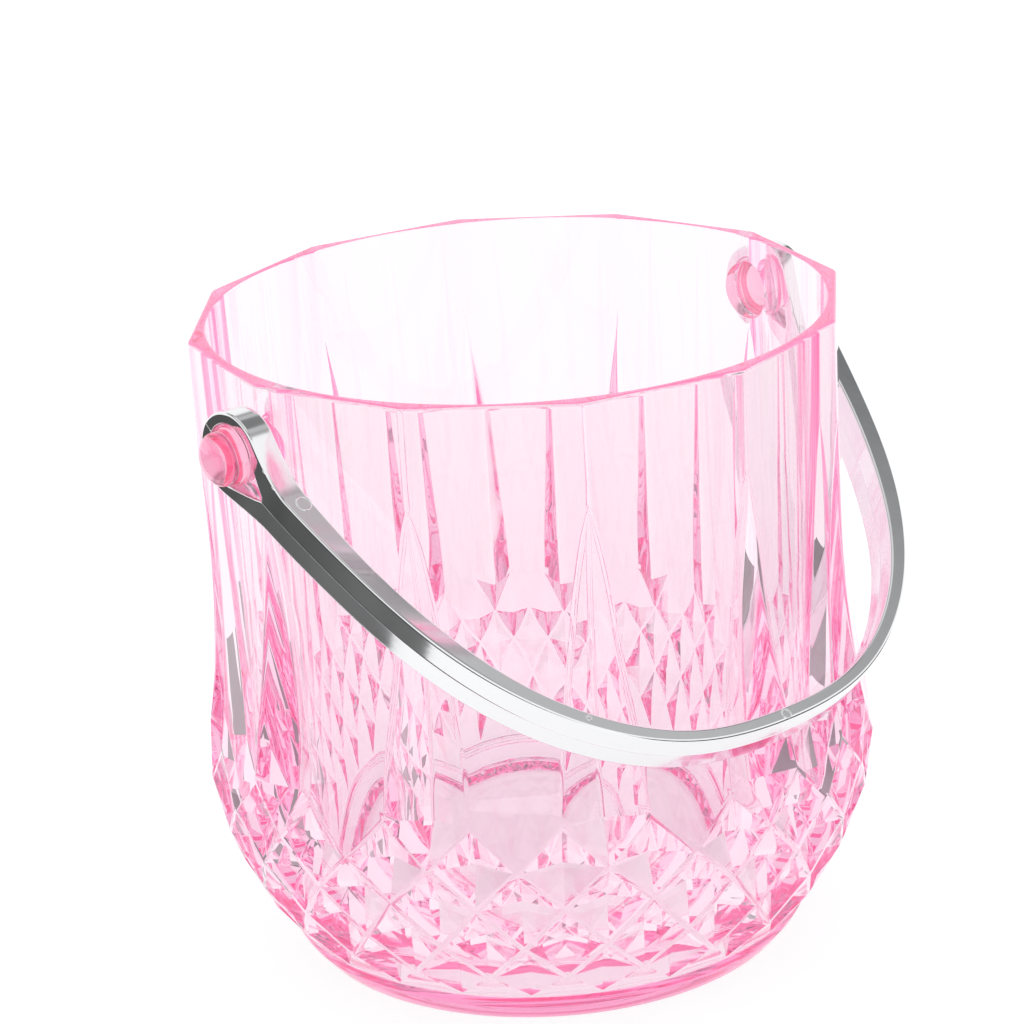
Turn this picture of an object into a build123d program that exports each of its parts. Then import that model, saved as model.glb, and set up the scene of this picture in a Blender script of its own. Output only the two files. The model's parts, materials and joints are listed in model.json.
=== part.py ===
from build123d import *
import math
import os

# Ice bucket: clear moulded body with a twelve-sided rim, tapering flutes, a
# quilted bulge and a round foot, plus a swinging bail on two round-ended pegs.
# Millimetres. Z is up, the origin is the centre of the underside, X runs
# along the pivot pegs and the bail hangs on the -Y side.

# ---- overall -------------------------------------------------------------
HEIGHT = 137.5            # underside to rim
SIDES = 12                # flat panels round the rim
RIM_CORNER_R = 68.0       # centre to a rim corner
RIM_CHAMFER = 0.7         # softened outer top edge

# ---- flutes and panels: height, half angle of flute, panel apothem, valley radius
FLUTE_STATIONS = [
    (117.0, 0.00, 65.50, 67.81),
    (111.5, 0.90, 65.50, 66.90),
    (105.5, 1.80, 65.48, 65.85),
    (99.5, 2.60, 65.45, 65.00),
    (91.5, 3.45, 65.45, 64.15),
    (81.5, 4.55, 65.75, 63.40),
    (71.5, 5.70, 66.40, 63.05),
    (61.5, 6.85, 67.40, 63.10),
    (51.0, 7.50, 69.00, 64.20),
]
VALLEY_END_Z = 49.8       # the flute's floor runs out a little below its shoulders

# ---- quilted bulge: height and radius of each ring of crossing points ------
FLUTE_FOOT = (51.0, 69.0 / math.cos(math.radians(7.5)))   # where flutes, panels and bulge meet
LATTICE = [FLUTE_FOOT, (41.6, 70.5), (32.7, 69.2), (22.4, 65.4), (13.7, 60.6), (6.8, 54.8)]
CELLS = 24                # diamonds round each row
RIB_SHARE = 0.10          # how far a diamond's hollow starts in from its edge
HOLLOW_DEPTH = 3.4        # depth of each four-sided hollow

# ---- foot ----------------------------------------------------------------
FOOT_PROFILE = [(0, 0), (50.2, 0), (50.9, 0.7), (52.4, 2.2), (53.7, 4.2), (54.0, 4.2),
                (54.3, 5.1), (54.6, 5.1), (54.8, 6.0), (55.1, 6.0), (55.1, 6.9), (54.0, 7.3), (0, 7.3)]

# ---- cavity --------------------------------------------------------------
FLOOR_Z = 4.5             # thickness under the ice
FLOOR_R = 36.0            # flat of the floor
BOWL_TOP_Z = 44.0         # where the bowl meets the straight wall
BOWL_R = 60.2
MOUTH_R = 63.9            # cavity radius at the rim
LIP = 0.5                 # softened inner top edge

# ---- pivots --------------------------------------------------------------
PIVOT_Z = 124.7
BOSS_R = 6.3
BOSS_START_X = 65.2       # buried in the wall
BOSS_END_X = 72.3         # the boss ends inside the eye, where the peg's collar takes over
BORE_R = 2.5
BORE_DEPTH = 5.5
COLLAR_R = 6.1            # peg collar inside the eye
COLLAR_END_X = 75.6
NECK_R = 5.95             # peg just outside the eye
CAP_R = 5.5
CAP_START_X = 77.75
CAP_HEIGHT = 3.0          # shallow dome on the end of the peg

# ---- bail ----------------------------------------------------------------
REST_ANGLE = 50.0         # bail plane from straight down, towards -Y
EYE_HOLE_R = 6.4          # 0.1 running clearance on the boss
EYE_POINT = 11.8          # tip of the teardrop hole, along the arm
EYE_OUTER_R = 9.0
BAIL_HALF_W = 5.0         # half width across the bail plane
NECK_D = 16.0             # where the eye has narrowed to the strip
NECK_START = 20.0         # degrees below the eye's widest point where it starts to narrow
NECK_EASE = 11.0          # how long the curve keeps its direction at each end
EYE_IN_X, EYE_OUT_X = 69.5, 75.5
BAIL_OUTER = [(74.9, 12), (73.1, 22), (70.2, 34), (65.2, 50), (56.5, 67), (42.0, 83), (24.0, 93.0), (0, 96.3)]
BAIL_INNER = [(68.9, 12), (67.5, 22), (65.2, 34), (60.3, 50), (51.8, 67), (37.2, 82.5), (20.5, 91.0), (0, 93.3)]


def at(az, r, z):
    a = math.radians(az)
    return (r * math.cos(a), r * math.sin(a), z)


def facet(*pts):
    return Face(Wire.make_polygon([Vector(*p) for p in pts], close=True))


def skin_faces():
    faces = []
    step = 360 / SIDES
    cut_r = RIM_CORNER_R - RIM_CHAMFER
    top = [at(k * step, cut_r, HEIGHT) for k in range(SIDES)]
    faces.append(facet(*top))
    h0 = HEIGHT - RIM_CHAMFER
    z1, _, ap1, _ = FLUTE_STATIONS[0]
    r1 = ap1 / math.cos(math.radians(step / 2))
    for k in range(SIDES):
        a, b = k * step, (k + 1) * step
        faces.append(facet(at(a, cut_r, HEIGHT), at(b, cut_r, HEIGHT), at(b, RIM_CORNER_R, h0), at(a, RIM_CORNER_R, h0)))
        faces.append(facet(at(a, RIM_CORNER_R, h0), at(b, RIM_CORNER_R, h0), at(b, r1, z1), at(a, r1, z1)))

    def edge(station, k, side):
        z, half, ap, _ = station
        r = ap / math.cos(math.radians(step / 2 - half))
        return at(k * step + side * half, r, z)

    def valley(station, k):
        z, half, ap, v = station
        if half == 0:
            v = ap / math.cos(math.radians(step / 2))
        if station is FLUTE_STATIONS[-1]:
            z = VALLEY_END_Z
        return at(k * step, v, z)

    for up, low in zip(FLUTE_STATIONS, FLUTE_STATIONS[1:]):
        for k in range(SIDES):
            faces.append(facet(edge(up, k, 1), edge(up, k + 1, -1), edge(low, k + 1, -1), edge(low, k, 1)))
            for side in (-1, 1):
                if up[1] == 0:
                    faces.append(facet(valley(up, k), valley(low, k), edge(low, k, side)))
                else:
                    faces.append(facet(valley(up, k), valley(low, k), edge(low, k, side)))
                    faces.append(facet(valley(up, k), edge(low, k, side), edge(up, k, side)))

    cell = 360 / CELLS
    node = lambda row, az: at(az, LATTICE[row][1], LATTICE[row][0])
    last = FLUTE_STATIONS[-1]
    for k in range(SIDES):
        mid = (k + 0.5) * step
        faces.append(facet(node(0, mid - cell / 2), node(0, mid + cell / 2), node(1, mid)))
        c = k * step
        for side in (-1, 1):
            faces.append(facet(valley(last, k), node(0, c + side * cell / 2), node(1, c)))

    for row in range(4):
        offset = cell / 2 if row % 2 == 0 else 0
        for k in range(CELLS):
            az = k * cell + offset
            ring = [Vector(*node(row, az)), Vector(*node(row + 1, az + cell / 2)),
                    Vector(*node(row + 2, az)), Vector(*node(row + 1, az - cell / 2))]
            centre = (ring[0] + ring[1] + ring[2] + ring[3]) * 0.25
            normal = (ring[1] - ring[3]).cross(ring[0] - ring[2]).normalized()
            if normal.dot(Vector(centre.X, centre.Y, 0)) < 0:
                normal = normal * -1
            apex = centre - normal * HOLLOW_DEPTH
            inner = [p + (centre - p) * RIB_SHARE for p in ring]
            for i in range(4):
                j = (i + 1) % 4
                faces.append(facet(ring[i], ring[j], inner[j], inner[i]))
                faces.append(facet(inner[i], inner[j], apex))
    for k in range(CELLS):
        az = (k + 0.5) * cell
        faces.append(facet(node(4, az), node(5, az - cell / 2), node(5, az + cell / 2)))
    faces.append(facet(*[node(5, k * cell) for k in range(CELLS)]))
    return faces


def turned(points):
    wire = Wire.make_polygon([Vector(r, 0, z) for r, z in points], close=True)
    return Solid.revolve(Face(wire), 360, Axis.Z)


def cavity():
    wall_top = MOUTH_R
    bowl = EllipticalCenterArc((FLOOR_R, BOWL_TOP_Z), BOWL_R - FLOOR_R, BOWL_TOP_Z - FLOOR_Z, start_angle=270, arc_size=90)
    h_lip = HEIGHT - LIP
    edges = [
        Line((0, FLOOR_Z), (FLOOR_R, FLOOR_Z)),
        bowl,
        Line((BOWL_R, BOWL_TOP_Z), (wall_top, h_lip)),
        Line((wall_top, h_lip), (wall_top + LIP, HEIGHT)),
        Line((wall_top + LIP, HEIGHT), (wall_top + LIP, HEIGHT + 5)),
        Line((wall_top + LIP, HEIGHT + 5), (0, HEIGHT + 5)),
        Line((0, HEIGHT + 5), (0, FLOOR_Z)),
    ]
    flat = make_face(edges)
    return revolve(Plane.XZ * flat, Axis.Z, 360)


def along_x(radius, x0, x1, z):
    plane = Plane(origin=(x0, 0, z), x_dir=(0, 1, 0), z_dir=(1, 0, 0) if x1 > x0 else (-1, 0, 0))
    return plane * Cylinder(radius, abs(x1 - x0), align=(Align.CENTER, Align.CENTER, Align.MIN))


def bucket():
    shell = Solid(Shell(skin_faces()))
    if shell.volume < 0:
        shell = Solid(shell.wrapped.Reversed())
    body = Part() + shell + turned(FOOT_PROFILE)
    for s in (-1, 1):
        body = body + along_x(BOSS_R, s * BOSS_START_X, s * BOSS_END_X, PIVOT_Z)
    body = body - cavity()
    for s in (-1, 1):
        body = body - along_x(BORE_R, s * (BOSS_END_X - BORE_DEPTH), s * (BOSS_END_X + 1), PIVOT_Z)
    return body


def knob(s):
    top, flat = CAP_START_X + CAP_HEIGHT, 0.4
    dome = Bezier((CAP_R, CAP_START_X), (CAP_R, CAP_START_X + CAP_HEIGHT * 0.55), (CAP_R * 0.55, top), (flat, top))
    half = make_face([
        Line((0, BOSS_END_X - BORE_DEPTH), (BORE_R, BOSS_END_X - BORE_DEPTH)),
        Line((BORE_R, BOSS_END_X - BORE_DEPTH), (BORE_R, BOSS_END_X)),
        Line((BORE_R, BOSS_END_X), (COLLAR_R, BOSS_END_X)),
        Line((COLLAR_R, BOSS_END_X), (COLLAR_R, COLLAR_END_X)),
        Line((COLLAR_R, COLLAR_END_X), (NECK_R, COLLAR_END_X)),
        Line((NECK_R, COLLAR_END_X), (CAP_R, CAP_START_X)),
        dome,
        Line((flat, top), (0, top)),
        Line((0, top), (0, BOSS_END_X - BORE_DEPTH)),
    ])
    peg = revolve(Plane.XZ * half, Axis.Z, 360)
    return Pos(0, 0, PIVOT_Z) * (Rotation(0, 90 * s, 0) * peg)


def tangent_point(radius, p):
    d2 = p[0] ** 2 + p[1] ** 2
    k = radius * radius / d2
    m = radius * math.sqrt(d2 - radius * radius) / d2
    side = 1 if p[0] >= 0 else -1
    return (k * p[0] + side * m * p[1], k * p[1] - side * m * p[0])


def bail():
    t = math.radians(REST_ANGLE)
    down = Vector(0, -math.sin(t), -math.cos(t))
    out = Vector(0, -math.cos(t), math.sin(t))
    flat_plane = Plane(origin=(0, 0, PIVOT_Z), x_dir=(1, 0, 0), z_dir=out * -1)
    side_plane = Plane(origin=(-90, 0, PIVOT_Z), x_dir=out, z_dir=(1, 0, 0))

    def mirrored(pts):
        return [(-x, y) for x, y in pts[:-1]] + [pts[-1]] + [(x, y) for x, y in reversed(pts[:-1])]

    o, i = mirrored(BAIL_OUTER), mirrored(BAIL_INNER)
    top = -12.0
    u = make_face([
        Line((-EYE_OUT_X, top), (-EYE_OUT_X, 2)),
        Spline([(-EYE_OUT_X, 2)] + o + [(EYE_OUT_X, 2)], tangents=[(0, 1), (0, -1)]),
        Line((EYE_OUT_X, 2), (EYE_OUT_X, top)),
        Line((EYE_OUT_X, top), (EYE_IN_X, top)),
        Line((EYE_IN_X, top), (EYE_IN_X, 2)),
        Spline([(EYE_IN_X, 2)] + list(reversed(i)) + [(-EYE_IN_X, 2)], tangents=[(0, 1), (0, -1)]),
        Line((-EYE_IN_X, 2), (-EYE_IN_X, top)),
        Line((-EYE_IN_X, top), (-EYE_OUT_X, top)),
    ])
    slab = extrude(flat_plane * u, EYE_OUTER_R + 2, both=True)
    phi = math.radians(NECK_START)
    sx, sy = EYE_OUTER_R * math.cos(phi), EYE_OUTER_R * math.sin(phi)
    ease = NECK_EASE / 3
    c1 = (sx - math.sin(phi) * ease, sy + math.cos(phi) * ease)
    c2 = (BAIL_HALF_W, NECK_D - ease)
    outline = make_face([
        ThreePointArc((-sx, sy), (0, -EYE_OUTER_R), (sx, sy)),
        Bezier((sx, sy), c1, c2, (BAIL_HALF_W, NECK_D)),
        Line((BAIL_HALF_W, NECK_D), (BAIL_HALF_W, 110)),
        Line((BAIL_HALF_W, 110), (-BAIL_HALF_W, 110)),
        Line((-BAIL_HALF_W, 110), (-BAIL_HALF_W, NECK_D)),
        Bezier((-BAIL_HALF_W, NECK_D), (-c2[0], c2[1]), (-c1[0], c1[1]), (-sx, sy)),
    ])
    side = extrude(side_plane * outline, 180)
    hx, hy = tangent_point(EYE_HOLE_R, (0.0001, EYE_POINT))
    hx = abs(hx)
    eye = Circle(EYE_HOLE_R) + make_face([Polyline((-hx, hy), (hx, hy), (0, EYE_POINT), (-hx, hy))])
    eyes = extrude(side_plane * eye, 180)
    solid = (slab & side) - eyes
    return solid


os.makedirs("parts", exist_ok=True)
body = bucket()
handle = bail()
pieces = {
    "bucket_body": body,
    "handle_bail": handle,
    "pivot_knob_left": knob(-1),
    "pivot_knob_right": knob(1),
}
for name, shape in pieces.items():
    solids = shape.solids()
    print(name, len(solids), [round(s.volume) for s in solids], [s.is_valid for s in solids], shape.bounding_box())
    export_step(solids[0] if len(solids) == 1 else shape, f"parts/{name}.step")
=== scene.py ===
import bpy
import bmesh
import json
import math
from mathutils import Matrix, Vector

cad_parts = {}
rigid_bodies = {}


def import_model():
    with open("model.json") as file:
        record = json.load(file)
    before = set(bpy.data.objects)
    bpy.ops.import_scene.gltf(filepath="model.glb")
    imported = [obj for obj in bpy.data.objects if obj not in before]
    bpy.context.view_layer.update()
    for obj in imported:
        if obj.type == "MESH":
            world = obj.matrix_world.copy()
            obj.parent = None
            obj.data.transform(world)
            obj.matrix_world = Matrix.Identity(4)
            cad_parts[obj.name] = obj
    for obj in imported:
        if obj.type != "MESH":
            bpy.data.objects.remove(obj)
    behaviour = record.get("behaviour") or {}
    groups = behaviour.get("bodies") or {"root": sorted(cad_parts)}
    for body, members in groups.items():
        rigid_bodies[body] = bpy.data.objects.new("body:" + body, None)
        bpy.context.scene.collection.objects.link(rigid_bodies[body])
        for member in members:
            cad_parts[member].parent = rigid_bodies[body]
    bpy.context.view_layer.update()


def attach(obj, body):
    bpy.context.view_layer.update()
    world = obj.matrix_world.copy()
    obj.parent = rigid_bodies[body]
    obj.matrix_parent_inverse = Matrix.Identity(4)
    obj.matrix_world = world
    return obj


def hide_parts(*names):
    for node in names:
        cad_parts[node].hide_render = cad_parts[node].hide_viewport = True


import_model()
MM = 0.001

# ------------------------------------------------------------------ helpers


def pchip(xs, ys):
    """Monotone cubic through the given points; returns a function."""
    n = len(xs)
    h = [xs[i + 1] - xs[i] for i in range(n - 1)]
    d = [(ys[i + 1] - ys[i]) / h[i] for i in range(n - 1)]
    m = [0.0] * n
    m[0], m[-1] = d[0], d[-1]
    for i in range(1, n - 1):
        if d[i - 1] * d[i] > 0:
            w1, w2 = 2 * h[i] + h[i - 1], h[i] + 2 * h[i - 1]
            m[i] = (w1 + w2) / (w1 / d[i - 1] + w2 / d[i])

    def f(x):
        x = min(max(x, xs[0]), xs[-1])
        i = 0
        while i < n - 2 and x > xs[i + 1]:
            i += 1
        t = (x - xs[i]) / h[i]
        return ((1 + 2 * t) * (1 - t) ** 2 * ys[i] + t * (1 - t) ** 2 * h[i] * m[i]
                + t * t * (3 - 2 * t) * ys[i + 1] + t * t * (t - 1) * h[i] * m[i + 1])
    return f


def at(az, r, z):
    a = math.radians(az)
    return Vector((r * math.cos(a), r * math.sin(a), z))


def mix(a, b, t):
    return a + (b - a) * t


class Build:
    """Collects faces in millimetres, welds them and makes an object in metres."""

    def __init__(self):
        self.v, self.f, self.key = [], [], {}

    def vert(self, p):
        k = (round(p[0], 4), round(p[1], 4), round(p[2], 4))
        if k not in self.key:
            self.key[k] = len(self.v)
            self.v.append(k)
        return self.key[k]

    def face(self, *pts):
        ids = []
        for p in pts:
            i = self.vert(p)
            if not ids or (ids[-1] != i):
                ids.append(i)
        if len(ids) > 1 and ids[0] == ids[-1]:
            ids.pop()
        if len(set(ids)) >= 3:
            self.f.append(ids)

    def mesh(self, name):
        me = bpy.data.meshes.new(name)
        me.from_pydata([Vector(v) * MM for v in self.v], [], self.f)
        bm = bmesh.new()
        bm.from_mesh(me)
        bmesh.ops.recalc_face_normals(bm, faces=bm.faces)
        bm.to_mesh(me)
        bm.free()
        return me


def new_object(name, me):
    ob = bpy.data.objects.new(name, me)
    bpy.context.scene.collection.objects.link(ob)
    return ob


def applied(ob, name=None):
    """Replaces an object's mesh with its evaluated mesh and drops the modifiers."""
    dg = bpy.context.evaluated_depsgraph_get()
    me = bpy.data.meshes.new_from_object(ob.evaluated_get(dg), preserve_all_data_layers=True, depsgraph=dg)
    ob.modifiers.clear()
    old = ob.data
    ob.data = me
    me.name = name or ob.name
    bpy.data.meshes.remove(old)
    return ob


def boolean(ob, other, how):
    m = ob.modifiers.new("bool", "BOOLEAN")
    m.operation = how
    m.solver = "EXACT"
    m.object = other
    bpy.context.view_layer.update()
    applied(ob)
    bpy.data.objects.remove(other)
    return ob


def sharpen(me, degrees):
    """Smooth shading with edges sharper than the limit kept crisp."""
    me.shade_smooth()
    bm = bmesh.new()
    bm.from_mesh(me)
    lim = math.radians(degrees)
    for e in bm.edges:
        e.smooth = not (len(e.link_faces) != 2 or e.calc_face_angle(0) > lim)
    bm.to_mesh(me)
    bm.free()


def bevelled(ob, width, segments, low, high):
    """Rounds only the edges whose faces meet at an angle between low and high degrees."""
    bm = bmesh.new()
    bm.from_mesh(ob.data)
    bmesh.ops.remove_doubles(bm, verts=bm.verts, dist=0.03 * MM)
    weight = bm.edges.layers.float.get("bevel_weight_edge") or bm.edges.layers.float.new("bevel_weight_edge")
    lo, hi = math.radians(low), math.radians(high)
    for e in bm.edges:
        if len(e.link_faces) == 2 and lo < e.calc_face_angle(0) < hi:
            e[weight] = 1.0
    bm.to_mesh(ob.data)
    bm.free()
    sharpen(ob.data, 32)
    m = ob.modifiers.new("bevel", "BEVEL")
    m.width = width * MM
    m.segments = segments
    m.limit_method = "WEIGHT"
    m.harden_normals = True
    m.use_clamp_overlap = False
    m.miter_outer = "MITER_SHARP"
    bpy.context.view_layer.update()
    return applied(ob)


# --------------------------------------------------------------- dimensions

HEIGHT, RIM_R = 137.5, 68.0
# z, flute half-angle (degrees), panel apothem, valley radius
STATIONS = [
    (117.0, 0.00, 65.50, 67.81), (111.5, 0.90, 65.50, 66.90), (105.5, 1.80, 65.48, 65.85),
    (99.5, 2.60, 65.45, 65.00), (91.5, 3.45, 65.45, 64.15), (81.5, 4.55, 65.75, 63.40),
    (71.5, 5.70, 66.40, 63.05), (61.5, 6.85, 67.40, 63.10), (51.0, 7.50, 69.00, 64.20),
]
VALLEY_END_Z = 49.8
LATTICE = [(51.0, 69.0 / math.cos(math.radians(7.5))), (41.6, 70.5), (32.7, 69.2), (22.4, 65.4), (13.7, 60.6), (6.8, 54.8)]
RIB_SHARE, HOLLOW = 0.10, 3.4
FOOT = [(55.1, 6.9), (55.1, 6.0), (54.8, 5.95), (54.6, 5.1), (54.3, 5.05), (54.0, 4.2), (53.7, 4.15),
        (53.1, 3.2), (52.4, 2.2), (51.6, 1.2), (50.9, 0.5), (50.2, 0.0)]
FLOOR_Z, FLOOR_R, BOWL_Z, BOWL_R, MOUTH_R = 4.5, 36.0, 44.0, 60.2, 63.9
RIM_ROUND, LIP_ROUND = 0.9, 0.5
SHOULDER, VALLEY_ROUND = 0.9, 0.8
PIVOT_Z, BOSS_R, BOSS_X0, BOSS_X1, BORE_DEPTH, BORE_R = 124.7, 6.3, 65.2, 72.3, 5.5, 2.5
COLLAR_R, COLLAR_X, PEG_NECK_R, CAP_R, CAP_X, CAP_H = 6.1, 75.6, 5.95, 5.5, 77.75, 3.0

PER_SIDE = 16             # columns across a panel
SEG = 192                 # segments of the turned surfaces


# ------------------------------------------------------------- bucket shell


def bezier(p, q, r, t):
    return p * (1 - t) * (1 - t) + q * 2 * t * (1 - t) + r * t * t


COS15, SIN15 = math.cos(math.radians(15)), math.sin(math.radians(15))
NV, NF, NS = 3, 3, 5


def corner_half(half, ap, v, z, z_valley=None, shoulder=SHOULDER):
    """Points (radial, tangential, z) from a flute's valley out to where its panel is flat."""
    a = shoulder
    d1 = Vector((-SIN15, COS15))
    if half < 1e-6:
        e = Vector((ap / COS15, 0))
        s0, s1 = e + d1 * a, e + Vector((-SIN15, -COS15)) * a
        n = NV + NF + NS
        return [(*bezier(s1, e, s0, 0.5 + 0.5 * i / n), z) for i in range(n + 1)]
    h = math.radians(half)
    r = ap / math.cos(math.radians(15) - h)
    e = Vector((r * math.cos(h), r * math.sin(h)))
    val = Vector((v, 0))
    ln = (val - e).length
    d2 = (val - e) / ln
    s0, t0 = e + d1 * a, e + d2 * min(a, 0.45 * ln)
    b = min(VALLEY_ROUND, 0.4 * ln)
    b1 = val - d2 * b
    b0 = Vector((b1.x, -b1.y))
    pts = [bezier(b0, val, b1, 0.5 + 0.5 * i / NV) for i in range(NV + 1)]
    pts += [mix(b1, t0, i / NF) for i in range(1, NF + 1)]
    pts += [bezier(t0, e, s0, i / NS) for i in range(1, NS + 1)]
    if z_valley is None:
        return [(p.x, p.y, z) for p in pts]
    return [(p.x, p.y, mix(z_valley, z, min(1.0, p.y / e.y))) for p in pts]


def bucket_mesh():
    b = Build()
    zs = [s[0] for s in STATIONS][::-1]
    half_f = pchip(zs, [s[1] for s in STATIONS][::-1])
    apo_f = pchip(zs, [s[2] for s in STATIONS][::-1])
    val_f = pchip(zs, [s[3] for s in STATIONS][::-1])

    def ring(points):
        """Full ring of a section from its half corner."""
        full = []
        for k in range(12):
            c, s = math.cos(math.radians(30 * k)), math.sin(math.radians(30 * k))
            left = [Vector((r * c + t * s, r * s - t * c, z)) for r, t, z in reversed(points)]
            right = [Vector((r * c - t * s, r * s + t * c, z)) for r, t, z in points[1:]]
            full.append(left + right)
        out = []
        for k in range(12):
            out += full[k]
            p, q = full[k][-1], full[(k + 1) % 12][0]
            out += [mix(p, q, j / PER_SIDE) for j in range(1, PER_SIDE)]
        return out

    def join(up, low):
        n = len(up)
        for j in range(n):
            b.face(up[j], up[(j + 1) % n], low[(j + 1) % n], low[j])

    sections = []
    for i in range(11):
        a = math.radians(90 * i / 10)
        inset = RIM_ROUND * (1 - math.sin(a))
        z = HEIGHT - RIM_ROUND * (1 - math.cos(a))
        sections.append((z, 0.0, RIM_R * COS15 - inset, 0.0))
    for i in range(1, 6):
        z = mix(HEIGHT - RIM_ROUND, 117.0, i / 5)
        sections.append((z, 0.0, mix(RIM_R * COS15, 65.5, i / 5), 0.0))
    n = 40
    for i in range(1, n + 1):
        z = 117.0 - 66.0 * (i / n) ** 1.15
        sections.append((z, half_f(z), apo_f(z), val_f(z)))
    rings = []
    for z, half, ap, v in sections:
        fade = min(1.0, 0.06 + (z - 51.0) / 12.0)
        last = z < 51.001
        rings.append(ring(corner_half(half, ap, v, z, VALLEY_END_Z if last else None, SHOULDER * fade if not last else 0.0)))
    for up, low in zip(rings, rings[1:]):
        join(up, low)
    # rim top between the outer round and the lip
    top = rings[0]
    rim_in = MOUTH_R + LIP_ROUND
    inner = []
    for p in top:
        a = math.atan2(p.y, p.x)
        inner.append(Vector((rim_in * math.cos(a), rim_in * math.sin(a), HEIGHT)))
    join(inner, top)
    angles = [math.atan2(p.y, p.x) for p in top]

    def turned(profile):
        for (ra, za), (rb, zb) in zip(profile, profile[1:]):
            A = [Vector((ra * math.cos(a), ra * math.sin(a), za)) for a in angles]
            B = [Vector((rb * math.cos(a), rb * math.sin(a), zb)) for a in angles]
            if rb < 1e-6:
                for j in range(len(A)):
                    b.face(A[j], A[(j + 1) % len(A)], Vector((0, 0, zb)))
            else:
                join(A, B)
    node = lambda row, az: at(az, LATTICE[row][1], LATTICE[row][0])
    last = rings[-1]
    per = len(last) // 12
    nh = NV + NF + NS
    for k in range(12):
        seg = last[k * per:(k + 1) * per] + [last[((k + 1) * per) % len(last)]]
        foot = node(1, k * 30)
        for p, q in zip(seg[:2 * nh], seg[1:2 * nh + 1]):
            if (p - q).length > 1e-4:
                b.face(p, q, foot)
        tip = node(1, k * 30 + 15)
        for p, q in zip(seg[2 * nh:], seg[2 * nh + 1:]):
            b.face(p, q, tip)
    for row in range(4):
        off = 7.5 if row % 2 == 0 else 0
        for k in range(24):
            az = k * 15 + off
            ringp = [node(row, az), node(row + 1, az + 7.5), node(row + 2, az), node(row + 1, az - 7.5)]
            centre = (ringp[0] + ringp[1] + ringp[2] + ringp[3]) * 0.25
            nrm = (ringp[1] - ringp[3]).cross(ringp[0] - ringp[2]).normalized()
            if nrm.dot(Vector((centre.x, centre.y, 0))) < 0:
                nrm.negate()
            apex = centre - nrm * HOLLOW
            inn = [p + (centre - p) * RIB_SHARE for p in ringp]
            for i in range(4):
                j = (i + 1) % 4
                b.face(ringp[i], ringp[j], inn[j], inn[i])
                b.face(inn[i], inn[j], apex)
    fa = [360 * j / SEG for j in range(SEG)]
    per = SEG // 24
    for k in range(24):
        a0 = k * 15
        p0, p1, tip = node(5, a0), node(5, a0 + 15), node(4, a0 + 7.5)
        for j in range(per):
            u, v = j / per, (j + 1) / per
            q0, q1 = mix(p0, p1, u), mix(p0, p1, v)
            b.face(q0, q1, tip)
            b.face(q0, q1, at(a0 + 15 * v, *FOOT[0]), at(a0 + 15 * u, *FOOT[0]))
    for (ra, za), (rb, zb) in zip(FOOT, FOOT[1:]):
        for j in range(SEG):
            u, v = fa[j], fa[(j + 1) % SEG] if j + 1 < SEG else 360.0
            b.face(at(u, ra, za), at(v, ra, za), at(v, rb, zb), at(u, rb, zb))
    for j in range(SEG):
        u, v = fa[j], fa[(j + 1) % SEG] if j + 1 < SEG else 360.0
        b.face(at(u, FOOT[-1][0], 0), at(v, FOOT[-1][0], 0), Vector((0, 0, 0)))
    prof = []
    for i in range(9):
        a = math.radians(90 * i / 8)
        prof.append((MOUTH_R + LIP_ROUND * (1 - math.sin(a)), HEIGHT - LIP_ROUND * (1 - math.cos(a))))
    for i in range(1, 9):
        t = i / 8
        prof.append((mix(MOUTH_R, BOWL_R, t), mix(HEIGHT - LIP_ROUND, BOWL_Z, t)))
    for i in range(1, 31):
        a = math.radians(90 * i / 30)
        prof.append((FLOOR_R + (BOWL_R - FLOOR_R) * math.cos(a), BOWL_Z - (BOWL_Z - FLOOR_Z) * math.sin(a)))
    prof.append((0.0, FLOOR_Z))
    turned(prof)
    return b.mesh("bucket_shell")


def turned_x(name, profile, s, z, seg=96):
    """A solid turned about the X line at height z; profile is (x, r) from end to end."""
    b = Build()

    def p(x, r, j):
        a = 2 * math.pi * j / seg
        return Vector((s * x, r * math.cos(a), z + r * math.sin(a)))
    for (xa, ra), (xb, rb) in zip(profile, profile[1:]):
        for j in range(seg):
            b.face(p(xa, ra, j), p(xa, ra, j + 1), p(xb, rb, j + 1), p(xb, rb, j))
    return new_object(name, b.mesh(name))


bucket = new_object("bucket_shell", bucket_mesh())
for s in (-1, 1):
    boss = turned_x("boss_tool", [(BOSS_X0, 0), (BOSS_X0, BOSS_R), (BOSS_X1 - 0.5, BOSS_R), (BOSS_X1 - 0.15, BOSS_R - 0.15), (BOSS_X1, BOSS_R - 0.5), (BOSS_X1, 0)], s, PIVOT_Z)
    boolean(bucket, boss, "UNION")
sharpen(bucket.data, 14)

def peg_profile():
    """Peg from the inner end of its pin to the top of its dome, as (x, r)."""
    gap = 0.03
    pts = [(BOSS_X1 + gap, 0.0), (BOSS_X1 + gap, COLLAR_R - 0.3), (BOSS_X1 + gap + 0.09, COLLAR_R - 0.09), (BOSS_X1 + gap + 0.3, COLLAR_R)]
    pts += [(COLLAR_X - 0.25, COLLAR_R), (COLLAR_X - 0.1, COLLAR_R - 0.03), (COLLAR_X, PEG_NECK_R + 0.03)]
    n = 8
    for i in range(1, n):
        t = i / n
        pts.append((mix(COLLAR_X, CAP_X, t), mix(PEG_NECK_R, CAP_R, t) - 0.12 * math.sin(math.pi * t)))
    m = 40
    for i in range(m + 1):
        t = math.pi / 2 * i / m
        pts.append((CAP_X + CAP_H * math.sin(t) * 0.999, CAP_R * math.cos(t) if i < m else 0.0))
    return pts


knobs = {}
for side, s in (("left", -1), ("right", 1)):
    k = turned_x("knob_" + side, peg_profile(), s, PIVOT_Z)
    sharpen(k.data, 30)
    knobs[side] = k

# --------------------------------------------------------------------- bail

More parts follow.
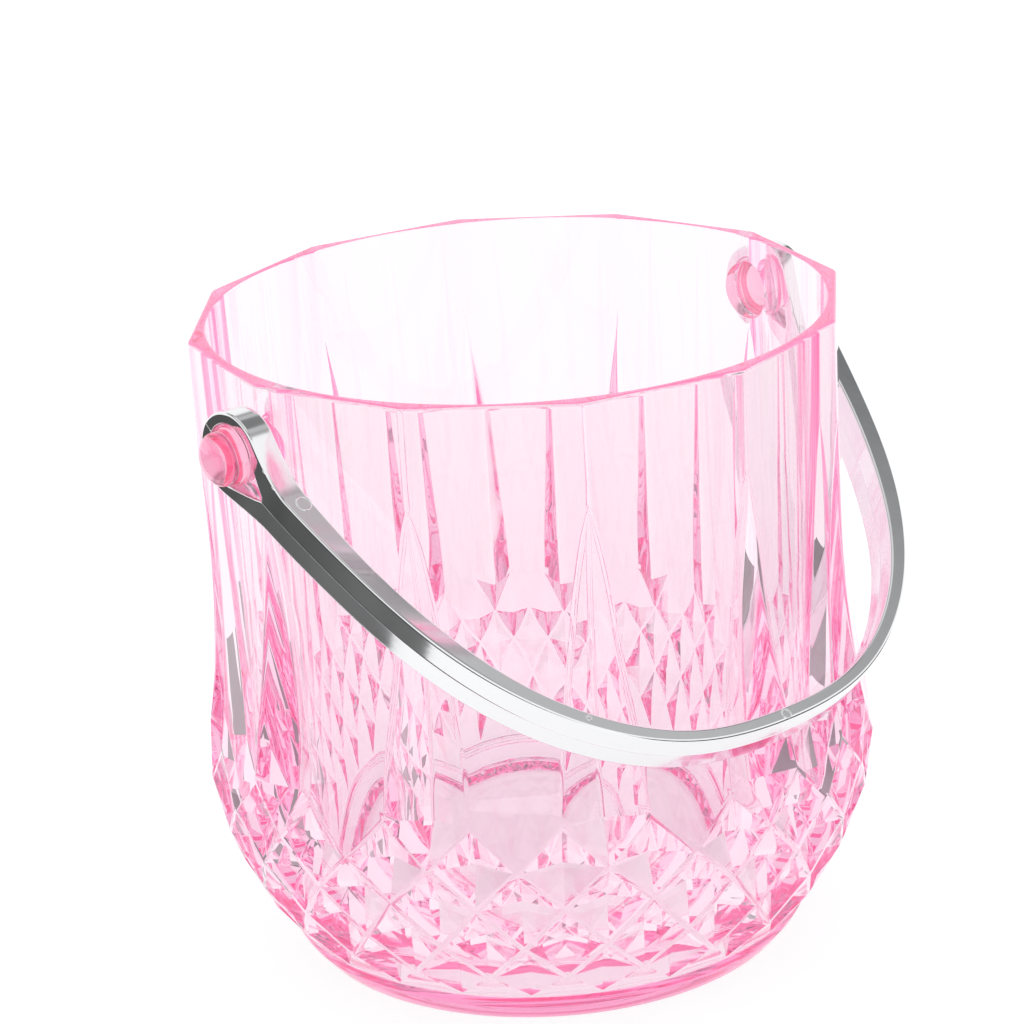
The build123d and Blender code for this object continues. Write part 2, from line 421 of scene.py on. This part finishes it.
REST = math.radians(50.0)
D = Vector((0, -math.sin(REST), -math.cos(REST)))
N = Vector((0, -math.cos(REST), math.sin(REST)))
P = Vector((0, 0, PIVOT_Z))
EYE_IN, EYE_OUT, EYE_R, EYE_HOLE, EYE_TIP = 69.5, 75.5, 9.0, 6.4, 11.8
HALF_W, NECK_D, NECK_START, NECK_EASE = 5.0, 16.0, 20.0, 11.0
OUTER = [(74.9, 12), (73.1, 22), (70.2, 34), (65.2, 50), (56.5, 67), (42.0, 83), (24.0, 93.0), (0, 96.3)]
INNER = [(68.9, 12), (67.5, 22), (65.2, 34), (60.3, 50), (51.8, 67), (37.2, 82.5), (20.5, 91.0), (0, 93.3)]


def mirrored(pts):
    return [(-x, y) for x, y in pts[:-1]] + [pts[-1]] + [(x, y) for x, y in reversed(pts[:-1])]


def smooth_path(pts, t_start, t_end, per=14):
    """Cubic spline through the points by chord length with end tangents; returns samples."""
    n = len(pts)
    u = [0.0]
    for p, q in zip(pts, pts[1:]):
        u.append(u[-1] + math.dist(p, q))
    out = []
    ders = []
    for c in range(2):
        y = [p[c] for p in pts]
        a, b, cc, d = [0.0] * n, [1.0] * n, [0.0] * n, [0.0] * n
        d[0], d[-1] = t_start[c], t_end[c]
        for i in range(1, n - 1):
            h0, h1 = u[i] - u[i - 1], u[i + 1] - u[i]
            a[i], b[i], cc[i] = h1, 2 * (h0 + h1), h0
            d[i] = 3 * (h1 * (y[i] - y[i - 1]) / h0 + h0 * (y[i + 1] - y[i]) / h1)
        for i in range(1, n):
            w = a[i] / b[i - 1]
            b[i] -= w * cc[i - 1]
            d[i] -= w * d[i - 1]
        m = [0.0] * n
        m[-1] = d[-1] / b[-1]
        for i in range(n - 2, -1, -1):
            m[i] = (d[i] - cc[i] * m[i + 1]) / b[i]
        ders.append(m)
    for i in range(n - 1):
        h = u[i + 1] - u[i]
        for j in range(per):
            t = j / per
            q = []
            for c in range(2):
                q.append((1 + 2 * t) * (1 - t) ** 2 * pts[i][c] + t * (1 - t) ** 2 * h * ders[c][i]
                         + t * t * (3 - 2 * t) * pts[i + 1][c] + t * t * (t - 1) * h * ders[c][i + 1])
            out.append(tuple(q))
    out.append(pts[-1])
    return out


def bail_object():
    top = -12.0
    o = smooth_path([(-EYE_OUT, 2)] + mirrored(OUTER) + [(EYE_OUT, 2)], (0, 1), (0, -1))
    i = smooth_path([(-EYE_IN, 2)] + mirrored(INNER) + [(EYE_IN, 2)], (0, 1), (0, -1))
    o = [(-EYE_OUT, top)] + o + [(EYE_OUT, top)]
    i = [(-EYE_IN, top)] + i + [(EYE_IN, top)]
    b = Build()

    def place(x, d, n):
        return P + Vector((x, 0, 0)) + D * d + N * n

    def offset(path, amount, sign):
        res = []
        for j, (x, y) in enumerate(path):
            x0, y0 = path[max(j - 1, 0)]
            x1, y1 = path[min(j + 1, len(path) - 1)]
            tx, ty = x1 - x0, y1 - y0
            ln = math.hypot(tx, ty) or 1
            nx, ny = -ty / ln, tx / ln
            res.append((x + nx * amount * sign, y + ny * amount * sign))
        return res
    # layers through the width: the two halves taper away from a fine witness line
    layers = [(-11.0, -0.16), (-0.2, -0.003), (0.0, 0.1), (0.2, -0.003), (11.0, -0.16)]
    po = [[place(x, y, n) for x, y in offset(o, w, 1)] for n, w in layers]
    pi = [[place(x, y, n) for x, y in offset(i, w, -1)] for n, w in layers]
    m = len(o)
    for a in range(len(layers) - 1):
        for j in range(m - 1):
            b.face(po[a][j], po[a][j + 1], po[a + 1][j + 1], po[a + 1][j])
            b.face(pi[a][j], pi[a][j + 1], pi[a + 1][j + 1], pi[a + 1][j])
        for j in (0, m - 1):
            b.face(po[a][j], pi[a][j], pi[a + 1][j], po[a + 1][j])
    for a in (0, len(layers) - 1):
        for j in range(m - 1):
            b.face(po[a][j], po[a][j + 1], pi[a][j + 1], pi[a][j])
    return new_object("bail", b.mesh("bail"))


def tangent(radius, p):
    d2 = p[0] ** 2 + p[1] ** 2
    k = radius * radius / d2
    m = radius * math.sqrt(d2 - radius * radius) / d2
    return (k * p[0] + m * p[1], k * p[1] - m * p[0])


def prism(name, outline, x0, x1):
    """Closed outline in (N, D) swept along X."""
    b = Build()
    pts = [[P + Vector((x, 0, 0)) + N * n + D * d for n, d in outline] for x in (x0, x1)]
    m = len(outline)
    for j in range(m):
        b.face(pts[0][j], pts[0][(j + 1) % m], pts[1][(j + 1) % m], pts[1][j])
    b.f.append([b.vert(p) for p in pts[0]])
    b.f.append([b.vert(p) for p in reversed(pts[1])])
    return new_object(name, b.mesh(name))


bail = bail_object()
STEPS = 72
a0 = math.radians(NECK_START)
eye_side = (EYE_R * math.cos(a0), EYE_R * math.sin(a0))
ease = NECK_EASE / 3
c1 = (eye_side[0] - math.sin(a0) * ease, eye_side[1] + math.cos(a0) * ease)
c2 = (HALF_W, NECK_D - ease)
neck = []
for j in range(1, 17):
    t = j / 16
    w = ((1 - t) ** 3, 3 * t * (1 - t) ** 2, 3 * t * t * (1 - t), t ** 3)
    neck.append(tuple(w[0] * eye_side[c] + w[1] * c1[c] + w[2] * c2[c] + w[3] * (HALF_W, NECK_D)[c] for c in range(2)))
outline = []
for j in range(STEPS + 1):
    a = a0 - (math.pi + 2 * a0) * j / STEPS
    outline.append((EYE_R * math.cos(a), EYE_R * math.sin(a)))
outline += [(-n, d) for n, d in neck] + [(-HALF_W, 110), (HALF_W, 110)] + neck[::-1]
boolean(bail, prism("bail_side", outline, -90, 90), "INTERSECT")
hn, hd = tangent(EYE_HOLE, (0.0001, EYE_TIP))
hn = abs(hn)
h0 = math.atan2(hd, hn)
hole = []
for j in range(STEPS + 1):
    a = h0 - (math.pi + 2 * h0) * j / STEPS
    hole.append((EYE_HOLE * math.cos(a), EYE_HOLE * math.sin(a)))
hole.append((0.0, EYE_TIP))
boolean(bail, prism("bail_eye", hole, -90, 90), "DIFFERENCE")
bevelled(bail, 0.6, 4, 60, 105)


def ring_bead(x, d, radius, wire, high):
    """A low round bead left by an ejector pin on the upper side face of the bail."""
    rb = Build()
    segs, sec = 40, 10
    for i in range(segs):
        quad = []
        for ii in (i, i + 1):
            a = 2 * math.pi * ii / segs
            row = []
            for j in range(sec):
                c = 2 * math.pi * j / sec
                rr = radius + wire * math.cos(c)
                row.append(P + Vector((x + rr * math.cos(a), 0, 0)) + D * (d + rr * math.sin(a)) + N * (HALF_W + high * math.sin(c)))
            quad.append(row)
        for j in range(sec):
            rb.face(quad[0][j], quad[0][(j + 1) % sec], quad[1][(j + 1) % sec], quad[1][j])
    me = rb.mesh("bead")
    me.shade_smooth()
    return me


beads = [ring_bead(sx * 70.4, 17.3, 1.55, 0.22, 0.16) for sx in (-1, 1)]
beads.append(ring_bead(0, 94.9, 1.0, 0.22, 0.16))
beads.append(ring_bead(-42.0, 80.5, 0.5, 0.2, 0.14))
for me in beads:
    bead = new_object("bead", me)
    for ob in bpy.context.view_layer.objects:
        ob.select_set(ob in (bail, bead))
    bpy.context.view_layer.objects.active = bail
    bpy.ops.object.join()
# the wide flat faces stay flat to the eye; only the narrow roundings shade as curves
for ob in (bail, bucket):
    flat = ob.modifiers.new("flat", "WEIGHTED_NORMAL")
    flat.mode = "FACE_AREA"
    flat.weight = 100
    flat.keep_sharp = True
    bpy.context.view_layer.update()
    applied(ob)

# ---------------------------------------------------------------- materials


def material(name):
    m = bpy.data.materials.new(name)
    m.use_nodes = True
    nt = m.node_tree
    nt.nodes.clear()
    out = nt.nodes.new("ShaderNodeOutputMaterial")
    bsdf = nt.nodes.new("ShaderNodeBsdfPrincipled")
    nt.links.new(bsdf.outputs[0], out.inputs["Surface"])
    return m, nt, bsdf, out


def noise(nt, scale, detail=4.0, rough=0.5):
    tc = nt.nodes.new("ShaderNodeTexCoord")
    n = nt.nodes.new("ShaderNodeTexNoise")
    n.inputs["Scale"].default_value = scale
    n.inputs["Detail"].default_value = detail
    n.inputs["Roughness"].default_value = rough
    nt.links.new(tc.outputs["Object"], n.inputs["Vector"])
    return n


def clear_pink(name, density, wave, stain=(0.95, 0.05, 0.53, 1)):
    m, nt, bsdf, out = material(name)
    bsdf.inputs["Base Color"].default_value = (0.955, 0.90, 0.925, 1)
    bsdf.inputs["Transmission Weight"].default_value = 1.0
    bsdf.inputs["IOR"].default_value = 1.59
    # painted glow: every surface of the pink plastic gives off a faint pale pink light of its own, standing in for
    # light scattered inside the dyed plastic
    bsdf.inputs["Emission Color"].default_value = (1.0, 0.8, 0.9, 1)
    bsdf.inputs["Emission Strength"].default_value = 0.02
    bsdf.inputs["Roughness"].default_value = 0.0
    # moulded flow lines: a very slow, shallow ripple in the surface
    n = noise(nt, 55.0, 3.0, 0.45)
    bump = nt.nodes.new("ShaderNodeBump")
    bump.inputs["Strength"].default_value = wave
    bump.inputs["Distance"].default_value = 0.0002
    nt.links.new(n.outputs["Fac"], bump.inputs["Height"])
    nt.links.new(bump.outputs[0], bsdf.inputs["Normal"])
    # roughness is a touch higher in patches where the mould was less polished
    ramp = nt.nodes.new("ShaderNodeMapRange")
    ramp.inputs["From Min"].default_value = 0.55
    ramp.inputs["From Max"].default_value = 0.8
    ramp.inputs["To Min"].default_value = 0.0
    ramp.inputs["To Max"].default_value = 0.03
    nt.links.new(n.outputs["Fac"], ramp.inputs["Value"])
    nt.links.new(ramp.outputs[0], bsdf.inputs["Roughness"])
    vol = nt.nodes.new("ShaderNodeVolumeAbsorption")
    vol.inputs["Color"].default_value = stain
    vol.inputs["Density"].default_value = density
    nt.links.new(vol.outputs[0], out.inputs["Volume"])
    return m


def chrome(name):
    m, nt, bsdf, out = material(name)
    bsdf.inputs["Metallic"].default_value = 1.0
    bsdf.inputs["Base Color"].default_value = (0.88, 0.89, 0.9, 1)
    n = noise(nt, 180.0, 5.0, 0.6)
    ramp = nt.nodes.new("ShaderNodeMapRange")
    ramp.inputs["To Min"].default_value = 0.05
    ramp.inputs["To Max"].default_value = 0.13
    nt.links.new(n.outputs["Fac"], ramp.inputs["Value"])
    nt.links.new(ramp.outputs[0], bsdf.inputs["Roughness"])
    bump = nt.nodes.new("ShaderNodeBump")
    bump.inputs["Strength"].default_value = 0.05
    bump.inputs["Distance"].default_value = 0.0002
    nt.links.new(n.outputs["Fac"], bump.inputs["Height"])
    nt.links.new(bump.outputs[0], bsdf.inputs["Normal"])
    return m


pink = clear_pink("clear_pink_plastic", 11.5, 0.04)
pink_knob = clear_pink("clear_pink_knob_plastic", 60.0, 0.06, (0.965, 0.13, 0.46, 1))
plate = chrome("bright_plate")
for ob, mat in ((bucket, pink), (knobs["left"], pink_knob), (knobs["right"], pink_knob), (bail, plate)):
    ob.data.materials.clear()
    ob.data.materials.append(mat)

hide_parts("bucket_body")
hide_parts("pivot_knob_left")
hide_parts("pivot_knob_right")
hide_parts("handle_bail")
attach(bucket, "bucket")
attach(knobs["left"], "bucket")
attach(knobs["right"], "bucket")
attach(bail, "bail")

# ------------------------------------------------------------- floor, light

fb = Build()
for ix in range(-4, 4):
    for iy in range(-4, 4):
        c = [Vector((x * 1000.0, y * 1000.0, -0.05)) for x, y in ((ix, iy), (ix + 1, iy), (ix + 1, iy + 1), (ix, iy + 1))]
        fb.face(*c)
floor = new_object("floor", fb.mesh("floor"))
fm, fnt, fbsdf, _ = material("floor_white")
fbsdf.inputs["Base Color"].default_value = (0.45, 0.45, 0.45, 1)
fbsdf.inputs["Emission Color"].default_value = (1, 1, 1, 1)
fbsdf.inputs["Emission Strength"].default_value = 0.76
fbsdf.inputs["Roughness"].default_value = 0.9
fbsdf.inputs["Specular IOR Level"].default_value = 0.1
floor.data.materials.append(fm)

scene = bpy.context.scene
world = bpy.data.worlds.new("studio")
scene.world = world
world.use_nodes = True
wn = world.node_tree
wn.nodes.clear()
wout = wn.nodes.new("ShaderNodeOutputWorld")
bg = wn.nodes.new("ShaderNodeBackground")
wn.links.new(bg.outputs[0], wout.inputs[0])
wtc = wn.nodes.new("ShaderNodeTexCoord")
wsep = wn.nodes.new("ShaderNodeSeparateXYZ")
wn.links.new(wtc.outputs["Generated"], wsep.inputs[0])
wramp = wn.nodes.new("ShaderNodeValToRGB")
wramp.color_ramp.interpolation = "LINEAR"
els = wramp.color_ramp.elements
els[0].position, els[0].color = 0.0, (1, 1, 1, 1)
els[1].position, els[1].color = 1.0, (0.62, 0.62, 0.63, 1)
for pos, val in ((0.55, 1.0), (0.62, 0.92), (0.675, 0.45), (0.705, 0.37), (0.722, 0.41), (0.737, 0.54), (0.750, 0.52),
                 (0.770, 0.50), (0.786, 0.62), (0.796, 0.34), (0.812, 0.20), (0.845, 0.20), (0.875, 0.70), (0.94, 0.85)):
    el = els.new(pos)
    el.color = (val, val, val, 1)
wn.links.new(wsep.outputs["Z"], wramp.inputs[0])
# a dark flag high on the right: it shades the far arm of the bail
flag = None
for axis, lo, hi in (("X", 0.61, 0.66), ("Y", -0.25, -0.185), ("Z", 0.64, 0.68)):
    mr = wn.nodes.new("ShaderNodeMapRange")
    mr.inputs["From Min"].default_value = lo
    mr.inputs["From Max"].default_value = hi
    wn.links.new(wsep.outputs[axis], mr.inputs["Value"])
    if flag is None:
        flag = mr.outputs[0]
    else:
        mul = wn.nodes.new("ShaderNodeMath")
        mul.operation = "MULTIPLY"
        wn.links.new(flag, mul.inputs[0])
        wn.links.new(mr.outputs[0], mul.inputs[1])
        flag = mul.outputs[0]
shade = wn.nodes.new("ShaderNodeMix")
shade.data_type = "RGBA"
shade.inputs["B"].default_value = (0.16, 0.165, 0.17, 1)
wn.links.new(flag, shade.inputs["Factor"])
wn.links.new(wramp.outputs["Color"], shade.inputs["A"])
lp = wn.nodes.new("ShaderNodeLightPath")
wmix = wn.nodes.new("ShaderNodeMix")
wmix.data_type = "RGBA"
wmix.inputs["B"].default_value = (1, 1, 1, 1)
wn.links.new(lp.outputs["Is Camera Ray"], wmix.inputs["Factor"])
wn.links.new(shade.outputs["Result"], wmix.inputs["A"])
wn.links.new(wmix.outputs["Result"], bg.inputs["Color"])
bg.inputs["Strength"].default_value = 1.03


def card(name, corners, value, far_value=None, axis="X", span=(-0.1, -0.9), mottle=0.0):
    """A flat studio card that only reflections see: white lifts, dark gives polished metal its depth."""
    cb = Build()
    n = 6
    p = [Vector(c) for c in corners]
    for i in range(n):
        for j in range(n):
            u0, u1, v0, v1 = i / n, (i + 1) / n, j / n, (j + 1) / n
            cb.face(*[mix(mix(p[0], p[1], u), mix(p[3], p[2], u), v) for u, v in ((u0, v0), (u1, v0), (u1, v1), (u0, v1))])
    ob = new_object(name, cb.mesh(name))
    m, nt, bsdf, out = material(name)
    nt.nodes.remove(bsdf)
    em = nt.nodes.new("ShaderNodeEmission")
    em.inputs["Color"].default_value = (1, 1, 1, 1)
    tc = nt.nodes.new("ShaderNodeTexCoord")
    sep = nt.nodes.new("ShaderNodeSeparateXYZ")
    nt.links.new(tc.outputs["Object"], sep.inputs[0])
    grad = nt.nodes.new("ShaderNodeMapRange")
    grad.inputs["From Min"].default_value = span[0]
    grad.inputs["From Max"].default_value = span[1]
    grad.inputs["To Min"].default_value = value
    grad.inputs["To Max"].default_value = value if far_value is None else far_value
    nt.links.new(sep.outputs[axis], grad.inputs["Value"])
    strength = grad.outputs[0]
    if mottle:
        nz = nt.nodes.new("ShaderNodeTexNoise")
        nz.inputs["Scale"].default_value = 9.0
        nz.inputs["Detail"].default_value = 3.0
        nt.links.new(tc.outputs["Object"], nz.inputs["Vector"])
        amount = nt.nodes.new("ShaderNodeMapRange")
        amount.inputs["From Min"].default_value = 0.3
        amount.inputs["From Max"].default_value = 0.7
        amount.inputs["To Min"].default_value = 1.0 - mottle
        amount.inputs["To Max"].default_value = 1.0 + mottle
        nt.links.new(nz.outputs["Fac"], amount.inputs["Value"])
        mul = nt.nodes.new("ShaderNodeMath")
        mul.operation = "MULTIPLY"
        nt.links.new(grad.outputs[0], mul.inputs[0])
        nt.links.new(amount.outputs[0], mul.inputs[1])
        strength = mul.outputs[0]
    nt.links.new(strength, em.inputs["Strength"])
    nt.links.new(em.outputs[0], out.inputs["Surface"])
    ob.data.materials.append(m)
    ob.visible_camera = False
    ob.visible_diffuse = False
    ob.visible_transmission = False
    ob.visible_shadow = False
    ob.visible_volume_scatter = False
    return ob


# dark card on the floor to the left and behind; its near edge lies beside the bucket
card("card_left", [(-150, -400, 0.3), (-900, -400, 0.3), (-900, 900, 0.3), (-150, 900, 0.3)], 0.17, 0.085, "X", (-0.15, -0.26), 0.25)
card("card_left_wall", [(-900, -400, 0.3), (-900, 900, 0.3), (-900, 900, 260), (-900, -400, 260)], 0.08, 0.08)
# two dark cards beside the bucket that the plastic also sees: they draw the grey streaks in the outermost flutes
for name, corners, near, far in (("card_side_right", [(100, -78, 0.4), (232, -78, 0.4), (232, -165, 0.4), (100, -165, 0.4)], 0.40, 0.24),
                                 ("card_side_left", [(-105, 55, 0.4), (-66, 55, 0.4), (-66, 156, 0.4), (-105, 156, 0.4)], 0.30, 0.30)):
    card(name, corners, near, far, "X", (0.10, 0.21)).visible_transmission = True
# dark card on the floor in front and to the right: the thin dark line along the bail's rounded edge
card("card_front", [(-40, -190, 0.3), (-160, -1100, 0.3), (1100, -500, 0.3), (210, -40, 0.3)], 0.03, 0.03)

# ------------------------------------------------------------------- camera

F_PX, DIST, ELEV, AZ, PAN, TILT, ROLL = 4311.0, 886.2, 17.03, -39.93, 0.21, -2.75, 3.37
e, a = math.radians(ELEV), math.radians(AZ)
sdir = Vector((math.sin(a) * math.cos(e), -math.cos(a) * math.cos(e), math.sin(e)))
rim = Vector((0, 0, HEIGHT))
loc = rim + sdir * DIST
fwd = -sdir
right = fwd.cross(Vector((0, 0, 1))).normalized()
up = right.cross(fwd)
m1 = Matrix.Rotation(math.radians(PAN), 3, up)
fwd, right = m1 @ fwd, m1 @ right
m2 = Matrix.Rotation(math.radians(TILT), 3, right)
fwd, up = m2 @ fwd, m2 @ up
m3 = Matrix.Rotation(math.radians(ROLL), 3, fwd)
right, up = m3 @ right, m3 @ up
cam_data = bpy.data.cameras.new("camera")
cam = bpy.data.objects.new("camera", cam_data)
scene.collection.objects.link(cam)
rot = Matrix((right, up, -fwd)).transposed().to_4x4()
cam.matrix_world = Matrix.Translation(loc * MM) @ rot
cam_data.sensor_width = 36.0
cam_data.lens = F_PX / 1024 * 36.0
cam_data.clip_start = 0.05
cam_data.clip_end = 50
scene.camera = cam

scene.view_settings.view_transform = "Standard"
scene.cycles.max_bounces = 64
scene.cycles.transmission_bounces = 56
scene.cycles.glossy_bounces = 40
scene.cycles.diffuse_bounces = 4
scene.cycles.transparent_max_bounces = 16
scene.cycles.use_denoising = True
